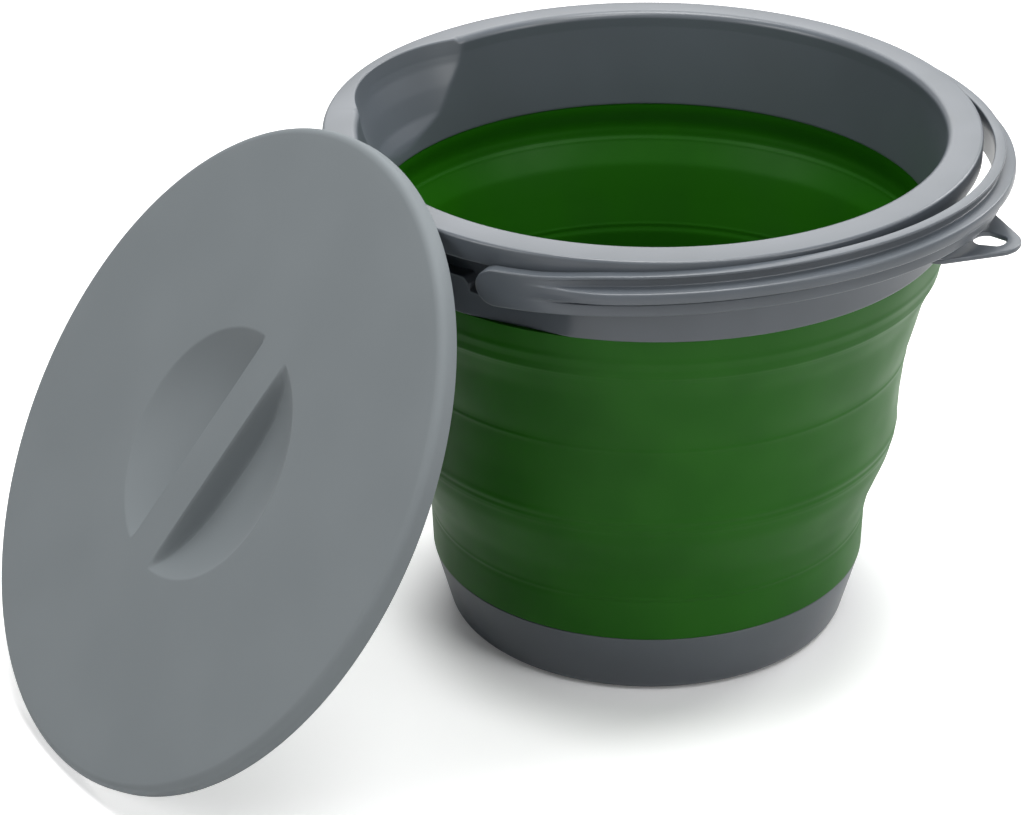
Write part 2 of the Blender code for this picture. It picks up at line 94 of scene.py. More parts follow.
class Side(Enum):
    """The two pivots, by the sign of their X."""

    LEFT = -1.0
    RIGHT = 1.0


# Shaping tools


def smoothstep(value: Numbers, low: float, high: float) -> Numbers:
    """Ease from 0 where a value is below low to 1 where it is above high."""
    share = np.clip((value - low) / (high - low), 0.0, 1.0)
    return share * share * (3.0 - 2.0 * share)


def soft_max(first: Numbers, second: Numbers, width: float) -> Numbers:
    """Larger of two values, rounded off where they differ by less than a width."""
    near = np.maximum(width - np.abs(first - second), 0.0) / width
    return np.maximum(first, second) + near * near * width / 4.0


def graded(low: float, high: float, step: float, spots: Sequence[tuple[float, float]] = (),
           fine: float = 0.25) -> np.ndarray:
    """Evenly spaced values that lie closer together round some spots.

    Args:
        low: First value.
        high: Last value.
        step: Usual spacing.
        spots: Pairs of a spot and how far its fine spacing reaches.
        fine: Spacing round the spots.

    Returns:
        The sorted values, both ends included.
    """
    rows = [np.linspace(low, high, max(2, int(round((high - low) / step)) + 1))]
    for spot, reach in spots:
        start, end = max(low, spot - reach), min(high, spot + reach)
        if end > start:
            rows.append(np.linspace(start, end, max(2, int(round((end - start) / fine)) + 1)))
    values = np.unique(np.round(np.concatenate(rows), 4))
    closest = fine * 0.4
    keep = np.concatenate([[True], np.diff(values) > closest])
    keep[-1] = True
    return values[keep]


@dataclass(frozen=True)
class Corner:
    """One corner of a section, in millimetres, and how it is rounded."""

    out: float
    up: float
    radius: float = 0.0
    steps: int = 0


def rounded(corners: Sequence[Corner]) -> np.ndarray:
    """Round the corners of a closed section.

    Args:
        corners: The section's corners in order.

    Returns:
        Points (out, up). A corner always gives the same number of points, so that sections
        with the same corners match point for point.
    """
    points = []
    count = len(corners)
    for index, corner in enumerate(corners):
        here = np.array([corner.out, corner.up])
        if corner.steps == 0:
            points.append(here)
            continue
        before, after = corners[index - 1], corners[(index + 1) % count]
        back = np.array([before.out, before.up]) - here
        ahead = np.array([after.out, after.up]) - here
        back_length, ahead_length = float(np.hypot(*back)), float(np.hypot(*ahead))
        back, ahead = back / back_length, ahead / ahead_length
        half = math.acos(float(np.clip(back @ ahead, -1.0, 1.0))) / 2.0
        reach = min(corner.radius / math.tan(half), LONGEST_REACH * back_length,
                    LONGEST_REACH * ahead_length)
        turn = math.pi - 2.0 * half
        if turn < STRAIGHT_TURN:
            for share in np.linspace(-1.0, 1.0, corner.steps + 1):
                points.append(here + (ahead if share > 0.0 else back) * abs(share) * reach)
            continue
        centre = here + (back + ahead) / np.hypot(*(back + ahead)) * reach / math.cos(half)
        start, end = here + back * reach - centre, here + ahead * reach - centre
        for share in np.linspace(0.0, 1.0, corner.steps + 1):
            arm = math.sin((1.0 - share) * turn) * start + math.sin(share * turn) * end
            points.append(centre + arm / math.sin(turn))
    return np.array(points)


def turned(profile: np.ndarray, azimuths: np.ndarray) -> np.ndarray:
    """Turn a profile about Z.

    Args:
        profile: Points (radius, height), the same all round or a column for each angle.
        azimuths: Angles in degrees.

    Returns:
        A grid of points, one row for each profile point.
    """
    angles = np.radians(azimuths)
    columns = profile if profile.ndim == 3 else np.repeat(profile[:, None], len(angles), axis=1)
    reach, level = columns[:, :, 0], columns[:, :, 1]
    return np.stack([reach * np.cos(angles), reach * np.sin(angles), level], axis=-1)


def round_azimuths(count: int) -> np.ndarray:
    """Even angles in degrees, once round without the closing one."""
    return np.arange(count) * 360.0 / count


def add_object(name: str, data: bpy.types.ID) -> bpy.types.Object:
    """Put an object with its data into the scene."""
    thing = bpy.data.objects.new(name, data)
    bpy.context.scene.collection.objects.link(thing)
    return thing


class Skin:
    """Gathers the sheets of one mesh and turns them into a smooth, named piece."""

    def __init__(self, name: str) -> None:
        """Start an empty skin under the piece's name."""
        self.name = name
        self.points: list[np.ndarray] = []
        self.faces: list[list[int]] = []
        self.count = 0

    def sheet(self, grid: np.ndarray, wrap_rows: bool = False, wrap_columns: bool = False,
              place: Matrix | None = None) -> None:
        """Add a grid of points as a sheet of faces.

        Args:
            grid: Points in millimetres, shaped (rows, columns, 3).
            wrap_rows: Whether the last row joins the first.
            wrap_columns: Whether the last column joins the first.
            place: Where the sheet goes, if it isn't in the frame already.
        """
        rows, columns = grid.shape[:2]
        index = np.arange(rows * columns).reshape(rows, columns) + self.count
        if wrap_rows:
            index = np.vstack([index, index[:1]])
        if wrap_columns:
            index = np.hstack([index, index[:, :1]])
        corners = (index[:-1, :-1], index[:-1, 1:], index[1:, 1:], index[1:, :-1])
        self.faces += np.stack(corners, axis=-1).reshape(-1, 4).tolist()
        points = grid.reshape(-1, 3)
        if place is not None:
            matrix = np.array(place)
            points = points @ matrix[:3, :3].T + matrix[:3, 3]
        self.points.append(points)
        self.count += rows * columns

    def cap(self, row: Sequence[int]) -> None:
        """Close a ring of points, given by their numbers, with one face."""
        self.faces.append(list(row))

    def piece(self, material: bpy.types.Material) -> bpy.types.Object:
        """Make the object, welded, its faces pointing out and only true edges left sharp."""
        mesh = bpy.data.meshes.new(self.name)
        mesh.from_pydata((np.concatenate(self.points) * MM).tolist(), [], self.faces)
        bm = bmesh.new()
        bm.from_mesh(mesh)
        bmesh.ops.remove_doubles(bm, verts=bm.verts, dist=WELD_DISTANCE * MM)
        bmesh.ops.recalc_face_normals(bm, faces=bm.faces)
        bm.to_mesh(mesh)
        bm.free()
        mesh.shade_smooth()
        mesh.set_sharp_from_angle(angle=math.radians(CREASE_DEGREES))
        mesh.materials.append(material)
        return add_object(self.name, mesh)


# Finishes


def linear(hex_colour: str) -> tuple[float, float, float, float]:
    """Turn an sRGB hex colour to the linear values that shaders use, with an alpha of 1."""
    digits = hex_colour.lstrip("#")
    shares = [int(digits[start:start + 2], 16) / 255.0 for start in (0, 2, 4)]
    red, green, blue = (share / 12.92 if share <= 0.04045 else ((share + 0.055) / 1.055) ** 2.4
                        for share in shares)
    return red, green, blue, 1.0


def add_node(tree: bpy.types.NodeTree, kind: str, inputs: Mapping[str | int, object] | None = None,
             **settings: object) -> bpy.types.Node:
    """Add one node with its settings and links.

    Args:
        tree: The node tree it goes into.
        kind: Blender's name for the node type.
        inputs: For each socket, a value or another node's output.
        **settings: The node's own properties.

    Returns:
        The new node.
    """
    node = tree.nodes.new(kind)
    for key, value in settings.items():
        setattr(node, key, value)
    for key, value in (inputs or {}).items():
        if isinstance(value, bpy.types.NodeSocket):
            tree.links.new(value, node.inputs[key])
        else:
            node.inputs[key].default_value = value
    return node


def eased(tree: bpy.types.NodeTree, value: Socket, source: tuple[float, float],
          target: tuple[float, float]) -> Socket:
    """Ease a value smoothly from one range to another."""
    return add_node(tree, "ShaderNodeMapRange",
                    {"Value": value, "From Min": source[0], "From Max": source[1],
                     "To Min": target[0], "To Max": target[1]},
                    interpolation_type="SMOOTHSTEP").outputs["Result"]


def reckoned(tree: bpy.types.NodeTree, operation: str, first: Socket,
             second: Socket | float) -> Socket:
    """Work out one value from two."""
    return add_node(tree, "ShaderNodeMath", {0: first, 1: second}, operation=operation).outputs[0]


@dataclass(frozen=True)
class MouldedPlastic:
    """A plastic part as it leaves its mould: colour, gloss and the marks of the moulding.

    Faint flow marks vary its colour and gloss, a shallow ripple breaks up its reflections, and
    the mould's own texture gives it grain. Lengths are in millimetres.
    """

    name: str
    colour: str
    flow_colour: str
    roughness: float
    roughness_spread: float
    flow: float
    ripple: float
    ripple_depth: float
    grain: float
    grain_depth: float
    ior: float = 1.49
    specular: float = 0.5

    def material(self) -> bpy.types.Material:
        """Make the material, once for each finish."""
        found = bpy.data.materials.get(self.name)
        if found is not None:
            return found
        made = bpy.data.materials.new(self.name)
        made.use_nodes = True
        tree = made.node_tree
        shader = tree.nodes["Principled BSDF"]
        where = add_node(tree, "ShaderNodeTexCoord").outputs["Object"]

        def noise(size: float, **inputs: float) -> Socket:
            """Noise whose grains have a size in millimetres."""
            return add_node(tree, "ShaderNodeTexNoise",
                            {"Vector": where, "Scale": 1.0 / (size * MM), **inputs}).outputs["Fac"]

        flow = noise(self.flow, Detail=1.0, Roughness=0.4)
        colour = add_node(tree, "ShaderNodeMix",
                          {"Factor": eased(tree, flow, FLOW_RANGE, (0.0, 1.0)),
                           6: linear(self.flow_colour), 7: linear(self.colour)}, data_type="RGBA")
        spread = self.roughness_spread
        gloss = eased(tree, flow, FLOW_RANGE, (self.roughness + spread, self.roughness - spread))
        marks = ((noise(self.ripple, Detail=1.0), self.ripple_depth),
                 (noise(self.grain, Detail=3.0, Roughness=0.6), self.grain_depth))
        below: dict[str, Socket] = {}
        for height, depth in marks:
            bump = add_node(tree, "ShaderNodeBump",
                            {"Height": height, "Distance": depth * MM, **below})
            below = {"Normal": bump.outputs["Normal"]}
        tree.links.new(colour.outputs[2], shader.inputs["Base Color"])
        tree.links.new(gloss, shader.inputs["Roughness"])
        tree.links.new(below["Normal"], shader.inputs["Normal"])
        shader.inputs["IOR"].default_value = self.ior
        shader.inputs["Specular IOR Level"].default_value = self.specular
        return made


# Satin injection-moulded polypropylene of the base, rim and bail: edges catch soft highlights
# and broad faces stay a cool mid grey. Its real grain is about 0.1 mm, drawn coarser to show.
GREY_POLYPROPYLENE = MouldedPlastic(
    name="satin_moulded_polypropylene", colour="#585e65", flow_colour="#53595f",
    roughness=0.31, roughness_spread=0.025, flow=38.0, ripple=14.0, ripple_depth=0.006,
    grain=0.9, grain_depth=0.002, specular=0.55)

# Injection-moulded polypropylene with a spark-eroded texture, as on the lid: matt, a little
# lighter and greener than the satin grey. Its 0.2 mm grain is drawn at 1 mm so that it shows.
LID_POLYPROPYLENE = MouldedPlastic(
    name="textured_moulded_polypropylene", colour="#7c8285", flow_colour="#797f82",
    roughness=0.55, roughness_spread=0.03, flow=55.0, ripple=18.0, ripple_depth=0.008,
    grain=1.0, grain_depth=0.014, specular=0.1)

# Smooth moulded thermoplastic rubber of the wall: deep green with a low, soft gloss that runs
# uneven where the wall isn't quite true.
GREEN_RUBBER = MouldedPlastic(
    name="moulded_thermoplastic_rubber", colour="#1d5e05", flow_colour="#195704",
    roughness=0.42, roughness_spread=0.05, flow=30.0, ripple=16.0, ripple_depth=0.04,
    grain=1.4, grain_depth=0.010, ior=1.5, specular=0.15)


# Sub-assemblies


@dataclass
class Base:
    """Rigid moulded cup that the bucket stands on."""

    foot_radius: float = 101.3
    foot_round: float = 7.0
    top_radius: float = 111.0
    height: float = 35.0
    wall: float = 3.0
    floor: float = 3.0
    inner_round: float = 4.5
    inner_slope: float = 0.8
    seam: float = 0.45
    seam_gap: float = 0.03
    gate_radii: tuple[float, float] = (2.2, 3.0)
    gate_depth: float = 0.5
    columns: int = 240

    def build(self) -> bpy.types.Object:
        """Turn the cup, with the dimple of its mould's gate below, and dress it."""
        inner_top, top = self.top_radius - self.wall, self.height - self.seam_gap
        inner_foot = self.foot_radius - self.wall + self.inner_slope
        section = rounded([
            Corner(0.0, self.gate_depth), Corner(self.gate_radii[0], self.gate_depth),
            Corner(self.gate_radii[1], 0.0, 0.2, 2),
            Corner(self.foot_radius, 0.0, self.foot_round, 10),
            Corner(self.top_radius, top, self.seam, 4), Corner(inner_top, top),
            Corner(inner_foot, self.floor, self.inner_round, 6), Corner(0.0, self.floor)])
        skin = Skin("base_cup")
        skin.sheet(turned(section, round_azimuths(self.columns)), wrap_columns=True)
        piece = skin.piece(GREY_POLYPROPYLENE.material())
        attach(piece, Body.BASE.value)
        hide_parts("base")
        return piece


@dataclass(frozen=True)
class Band:
    """One band of the flexible wall and the bodies that carry its ends."""

    name: str
    node: str
    bottom: float
    top: float
    wall: float
    inset: float
    carrier: Body
    upper_carrier: Body | None = None


@dataclass
class FoldingWall:
    """Green rubber wall: three stiff bands with two slanted bands between that fold.

    The outline is one line from base to rim, as (height, radius), with rounded corners. Fine
    ridges run round it, as (height, how proud, half width).
    """

    outline: Pairs = (
        (34.0, 110.97), (57.0, 111.8), (72.4, 115.2), (96.4, 124.6), (106.0, 126.4),
        (128.0, 127.3), (150.0, 129.6), (164.1, 133.5), (182.9, 138.3), (197.0, 144.2),
        (219.0, 148.6))
    outline_blend: float = 4.0
    inner_blend: float = 1.5
    ridges: tuple[Triple, ...] = (
        (205.2, 0.34, 1.9), (200.6, -0.16, 1.6), (195.6, 0.32, 1.9), (151.0, 0.28, 2.2),
        (109.8, 0.34, 1.8), (107.0, -0.2, 1.4), (104.0, 0.34, 1.8), (56.5, -0.3, 1.6))
    waviness: float = 0.22
    seam: float = 0.45
    crease_wall: float = 2.5
    throat_step: float = 4.6
    throat_heights: tuple[float, float] = (201.0, 215.7)
    columns: int = 240
    bands: tuple[Band, ...] = (
        Band("wall_band_low", "wall_lower_cuff", 35.03, 58.0, 3.0, 0.0, Body.BASE),
        Band("wall_fold_low", "wall_lower_fold", 58.0, 106.0, 2.2, 0.4, Body.BASE, Body.MIDDLE),
        Band("wall_band_middle", "wall_middle_band", 106.0, 150.0, 3.0, 0.0, Body.MIDDLE),
        Band("wall_fold_high", "wall_upper_fold", 150.0, 197.0, 2.2, 0.4, Body.MIDDLE, Body.RIM),
        Band("wall_band_high", "wall_upper_cuff", 197.0, 218.0, 2.6, 0.0, Body.RIM))

    def outlined(self, heights: np.ndarray, blend: float) -> np.ndarray:
        """Radius of the outline at each height, its corners rounded over a length."""
        levels = np.array([level for level, _ in self.outline])
        radii = np.array([radius for _, radius in self.outline])
        spread = np.linspace(-1.0, 1.0, 9) * blend
        weights = 1.0 - np.abs(spread) / (blend * 1.15)
        total = sum(weight * np.interp(heights + shift, levels, radii)
                    for shift, weight in zip(spread, weights))
        return total / weights.sum()

    def outer(self, heights: np.ndarray) -> np.ndarray:
        """Radius of the wall's outside with its ridges, at each height."""
        result = self.outlined(heights, self.outline_blend)
        for level, proud, half_width in self.ridges:
            result = result + proud * np.exp(-((heights - level) / half_width) ** 2)
        return result

    def wave(self, heights: np.ndarray, azimuths: np.ndarray) -> np.ndarray:
        """How far the soft wall strays from a true circle, not at all at the rigid seams."""
        low, high = self.bands[0].bottom, self.bands[-1].top
        share = np.clip((heights - low) / (high - low), 0.0, 1.0)[:, None]
        turn = np.radians(azimuths)[None, :]
        ripple = (np.sin(3.0 * turn + 4.0 * share + 0.6) + 0.6 * np.sin(5.0 * turn - 7.0 * share)
                  + 0.4 * np.sin(8.0 * turn + 9.0 * share + 2.0))
        return self.waviness * np.sin(math.pi * share) * ripple

    def edge(self, heights: np.ndarray, level: float) -> np.ndarray:
        """Radius lost to the small round beside a seam at a level."""
        away = np.clip(np.abs(heights - level), 0.0, self.seam)
        return self.seam - np.sqrt(self.seam ** 2 - (self.seam - away) ** 2)

    def section(self, band: Band) -> tuple[np.ndarray, np.ndarray]:
        """Heights and radii of a band's section, up the outside and down the inside."""
        spots = [(level, 3.0) for level, _, _ in self.ridges]
        spots += [(band.bottom, 1.5), (band.top, 1.5)]
        heights = graded(band.bottom, band.top, 1.3, spots, 0.35)
        outer = self.outer(heights)
        shrink = (smoothstep(heights, band.bottom, band.bottom + 2.0)
                  * smoothstep(-heights, -band.top, 2.0 - band.top))
        outer = outer - band.inset * shrink
        inner = (self.outlined(heights, self.inner_blend) - band.inset * shrink
                 - self.wall_at(heights, band))
        if band.node == "wall_lower_cuff":
            outer = outer - self.edge(heights, band.bottom)
        return np.concatenate([heights, heights[::-1]]), np.concatenate([outer, inner[::-1]])

    def wall_at(self, heights: np.ndarray, band: Band) -> np.ndarray:
        """Thickness of a band, even where bands meet. It steps in to meet the rim's throat."""
        near = np.minimum(heights - band.bottom, band.top - heights)
        thick = self.crease_wall + (band.wall - self.crease_wall) * smoothstep(near, 0.0, 3.0)
        if band.node == "wall_upper_cuff":
            thick = thick + self.throat_step * smoothstep(heights, *self.throat_heights)
        return thick

    def build(self) -> list[bpy.types.Object]:
        """Make every band: the stiff ones ride on their body, the folding ones stay fixed in the
        frame.
        """
        azimuths = round_azimuths(self.columns)
        made = []
        for band in self.bands:
            heights, radii = self.section(band)
            wavy = radii[:, None] + self.wave(heights, azimuths)
            levels = np.broadcast_to(heights[:, None], wavy.shape)
            skin = Skin(band.name)
            skin.sheet(turned(np.stack([wavy, levels], axis=-1), azimuths), wrap_rows=True,
                       wrap_columns=True)
            piece = skin.piece(GREEN_RUBBER.material())
            if band.upper_carrier is None:
                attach(piece, band.carrier.value)
            else:
                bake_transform(piece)
            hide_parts(band.node)
            made.append(piece)
        return made


@dataclass
class Rim:
    """Rigid moulded rim: throat wall, skirt, rolled lip, spout, hanging tab and pivot bosses."""

    top: float = 266.0
    throat_bottom: float = 215.7
    skirt_bottom: float = 218.2
    channel_top: float = 230.0
    radius: float = 161.9
    skirt_radius: float = 149.0
    skirt_draft: float = 0.4
    throat_low_radius: float = 139.8
    throat_high_radius: float = 144.3
    wall: float = 2.4
    lip_thickness: float = 3.2
    lip_drop: float = 12.0
    lip_edge: float = 2.5
    lip_fall: float = 0.9
    outer_round: float = 1.6
    inner_round: float = 6.5
    spout_radius: float = 80.0
    spout_depths: Pairs = (
        (214.0, -2.0), (220.6, 0.0), (224.3, 0.9), (227.3, 2.0), (231.6, 3.6),
        (243.6, 6.2), (253.7, 8.9), (266.0, 11.2))
    spout_edge_round: float = 1.0
    spout_wall: float = 2.6
    spout_crease: float = 0.4
    spout_blend: float = 1.6
    pad_distance: float = 146.55
    pad_blend: float = 0.3
    pad_degrees: float = 25.0
    rib_path: Pairs = (
        (-17.0, 241.2), (-8.6, 241.2), (-7.7, 238.6), (-7.4, 234.8), (-2.0, 234.2))
    rib_radius: float = 156.2
    rib_half: float = 0.6
    pivot_height: float = 247.1
    boss_radius: float = 9.0
    boss_face: float = 161.3
    bore_radius: float = 4.8
    bore_back: float = 150.8
    tab_top: float = 238.4
    tab_thickness: float = 2.7
    tab_reach: float = 43.5
    tab_half_width: float = 33.0
    tab_shoulder_round: float = 9.0
    tab_shoulder_drop: float = 16.0
    tab_fillet: float = 11.0
    tab_root: float = 146.0
    tab_edge_round: float = 0.9
    hole_radius: float = 8.0
    hole_setback: float = 15.1

    def cone(self, height: float) -> float:
        """Radius of the plain throat wall at a height."""
        share = (height - self.throat_bottom) / (self.top - self.inner_round - self.throat_bottom)
        share = min(share, 1.0)
        return self.throat_low_radius + share * (self.throat_high_radius - self.throat_low_radius)

    def scoop(self, azimuth: float, height: float, spare: float) -> float:
        """Radius that the spout's leaning round and a spare wall reach, 0 away from it."""
        levels, depths = zip(*self.spout_depths)
        front = self.cone(height) + float(np.interp(height, levels, depths))
        centre, turn = front - self.spout_radius, math.radians(azimuth - 90.0)
        if math.cos(turn) < 0.3:
            return 0.0
        reach = self.spout_radius + spare
        return centre * math.cos(turn) + math.sqrt(reach ** 2 - (centre * math.sin(turn)) ** 2)

    def throat(self, azimuth: float, height: float) -> float:
        """Inner radius of the throat at an azimuth and a height."""
        scoop = self.scoop(azimuth, height, 0.0)
        return float(soft_max(self.cone(height), scoop, self.spout_crease))

    def skirt(self, azimuth: float, height: float) -> float:
        """Outer radius of the skirt at an azimuth and a height, flat where a pivot sits."""
        share = (height - self.skirt_bottom) / (self.top - self.skirt_bottom)
        plain = self.skirt_radius + self.skirt_draft * share
        away = min(abs(azimuth % 180.0), 180.0 - azimuth % 180.0)
        if away < self.pad_degrees:
            pad = self.pad_distance / math.cos(math.radians(away))
            plain = -float(soft_max(-plain, -pad, self.pad_blend))
        scoop = self.scoop(azimuth, height, self.spout_wall)
        return float(soft_max(plain, scoop, self.spout_blend))

    def section(self, azimuth: float) -> np.ndarray:
        """Closed section (radius, height) at an azimuth, of as many points at every one."""
        under = self.top - self.lip_thickness
        drop = self.top - self.lip_drop
        edge = self.radius - self.lip_edge
        inner_top = self.throat(azimuth, self.top)
        scooped = float(smoothstep(inner_top - self.cone(self.top), 0.0, 2.5))
        inner_round = self.inner_round + (self.spout_edge_round - self.inner_round) * scooped
        corners = [Corner(self.throat(azimuth, self.throat_bottom), self.throat_bottom, 0.5, 3)]
        corners += [Corner(self.throat(azimuth, height), height)
                    for height in np.linspace(self.throat_bottom + 1.5, self.top - 7.5, 36)]
        corners += [
            Corner(inner_top, self.top, inner_round, 8),
            Corner(self.radius, self.top - self.lip_fall, self.outer_round, 8),
            Corner(self.radius, drop, 0.7, 3), Corner(edge, drop, 0.5, 2),
            Corner(edge, under, 0.8, 3), Corner(self.skirt(azimuth, under), under, 2.0, 4)]
        corners += [Corner(self.skirt(azimuth, height), height)
                    for height in np.linspace(under - 4.5, self.skirt_bottom + 1.5, 26)]
        inner_skirt = min(self.skirt_radius, self.skirt(azimuth, self.channel_top)) - self.wall
        corners += [
            Corner(self.skirt(azimuth, self.skirt_bottom), self.skirt_bottom, 0.5, 3),
            Corner(inner_skirt, self.skirt_bottom), Corner(inner_skirt, self.channel_top),
            Corner(min(self.throat(azimuth, self.channel_top) + self.wall, inner_skirt - 0.5),
                   self.channel_top),
            Corner(self.throat(azimuth, self.throat_bottom) + self.wall, self.throat_bottom)]
        return rounded(corners)

    def azimuths(self) -> np.ndarray:
        """Angles of the sections, closer together at the spout."""
        even = np.arange(0.0, 359.9, 1.2)
        spout = np.arange(60.0, 120.01, 0.4)
        kept = even[(even < 59.9) | (even > 120.1)]
        return np.sort(np.concatenate([kept, spout]))

    def tab_outline(self) -> np.ndarray:
        """Plan of the hanging tab: round tip, rounded shoulders and fillets into the skirt."""
        tip = np.array([0.0, self.skirt_radius + self.tab_reach - self.hole_setback])
        shoulder = np.array([self.tab_half_width - self.tab_shoulder_round,
                             tip[1] - self.tab_shoulder_drop])
        run = float(np.hypot(*(shoulder - tip)))
        fall = math.degrees(math.atan2(shoulder[1] - tip[1], shoulder[0] - tip[0]))
        shrink = self.hole_setback - self.tab_shoulder_round
        tangent = fall + math.degrees(math.acos(shrink / run))
        foot = self.tab_half_width + self.tab_fillet
        corner = np.array([foot, math.sqrt(self.skirt_radius ** 2 - foot ** 2) + self.tab_fillet])

        def arc(centre: np.ndarray, radius: float, start: float, end: float,
                steps: int) -> np.ndarray:
            """Points of an arc, angles in degrees."""
            angles = np.radians(np.linspace(start, end, steps + 1))
            return centre + radius * np.stack([np.cos(angles), np.sin(angles)], axis=-1)

        root = [[run, math.sqrt(self.tab_root ** 2 - run ** 2)]
                for run in (foot - 1.0, foot / 2.0, 0.0)]
        half = np.concatenate([
            arc(tip, self.hole_setback, 90.0, tangent, 12)[1:],
            arc(shoulder, self.tab_shoulder_round, tangent, 0.0, 12),
            arc(corner, self.tab_fillet, 180.0, 262.0, 10), root[:2]])
        middle_back = np.array(root[2:])
        tip_point = np.array([[0.0, tip[1] + self.hole_setback]])
        mirrored = half[::-1] * np.array([-1.0, 1.0])
        outline = np.concatenate([tip_point, half, middle_back, mirrored])
        return outline * np.array([1.0, -1.0])

    def tab_rings(self) -> np.ndarray:
        """Rings of the tab from its hole out over the top, round the edge and back below."""
        outline = self.tab_outline()
        centre = np.array([0.0, self.hole_setback - self.skirt_radius - self.tab_reach])
        arms = outline - centre
        arms /= np.hypot(arms[:, 0], arms[:, 1])[:, None]
        along = np.roll(outline, -1, axis=0) - np.roll(outline, 1, axis=0)
        inward = np.stack([along[:, 1], -along[:, 0]], axis=-1)
        inward /= np.hypot(inward[:, 0], inward[:, 1])[:, None]
        inward *= np.sign(np.sum(inward * -arms, axis=1))[:, None]
        soft = self.tab_edge_round
        top, bottom = self.tab_top, self.tab_top - self.tab_thickness
        upper = [(soft * (1.0 - math.cos(turn)), top - soft + soft * math.sin(turn))
                 for turn in np.radians(np.linspace(0.0, 90.0, 5))]
        lower = [(inset, top + bottom - height) for inset, height in upper]

        def hole(inset: float) -> np.ndarray:
            """Plan of the hole, widened by an inset."""
            return centre + arms * (self.hole_radius + inset)

        plans = [(hole(inset), height) for inset, height in upper]
        plans += [(outline + inward * inset, height) for inset, height in upper[::-1] + lower]
        plans += [(hole(inset), height) for inset, height in lower[::-1]]
        rings = [np.concatenate([plan, np.full((len(plan), 1), height)], axis=1)
                 for plan, height in plans]
        return np.array(rings)

    def boss_section(self) -> np.ndarray:
        """Section of a pivot boss with its blind bore, as (radius, distance along X)."""
        root = self.skirt_radius - self.wall + 0.4
        return rounded([
            Corner(0.0, self.bore_back), Corner(self.bore_radius, self.bore_back),
            Corner(self.bore_radius, self.boss_face, 0.4, 2),
            Corner(self.boss_radius, self.boss_face, 0.8, 3),
            Corner(self.boss_radius, root), Corner(0.0, root)])

    def stop_rib(self, side: Side) -> np.ndarray:
        """Rings along the thin bent rib beside a pivot that the folded bail's ear rests on."""
        scale = math.radians(self.rib_radius)
        last = len(self.rib_path) - 1
        path = rounded([Corner(turn * scale, level, 2.0, 0 if place in (0, last) else 6)
                        for place, (turn, level) in enumerate(self.rib_path)])
        along = np.gradient(path, axis=0)
        along /= np.hypot(along[:, 0], along[:, 1])[:, None]
        root, half = self.pad_distance - 1.0, self.rib_half
        section = rounded([Corner(root, -half), Corner(self.rib_radius, -half, 0.3, 2),
                           Corner(self.rib_radius, half, 0.3, 2), Corner(root, half)])
        rings = []
        for (run, level), (step_run, step_level) in zip(path, along):
            ring = []
            for radius, shift in section:
                turn = (run - step_level * shift) / self.rib_radius
                ring.append((side.value * radius * math.cos(turn), radius * math.sin(-turn),
                             level + step_run * shift))
            rings.append(ring)
        return np.array(rings)

    def build(self) -> bpy.types.Object:
        """Skin the rim with its spout, tab, bosses and stop ribs, and dress it."""
        azimuths = self.azimuths()
        sections = np.stack([self.section(azimuth) for azimuth in azimuths], axis=1)
        skin = Skin("rim_with_spout_and_tab")
        skin.sheet(turned(sections, azimuths), wrap_rows=True, wrap_columns=True)
        skin.sheet(self.tab_rings(), wrap_rows=True, wrap_columns=True)
        pivots = Matrix.Translation((0.0, 0.0, self.pivot_height))
        for side in Side:
            place = pivots @ Matrix.Rotation(side.value * math.pi / 2.0, 4, "Y")
            skin.sheet(turned(self.boss_section(), round_azimuths(48)), wrap_columns=True,
                       place=place)
            skin.sheet(self.stop_rib(side), wrap_columns=True)
        piece = skin.piece(GREY_POLYPROPYLENE.material())
        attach(piece, Body.RIM.value)
        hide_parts("rim")
        return piece


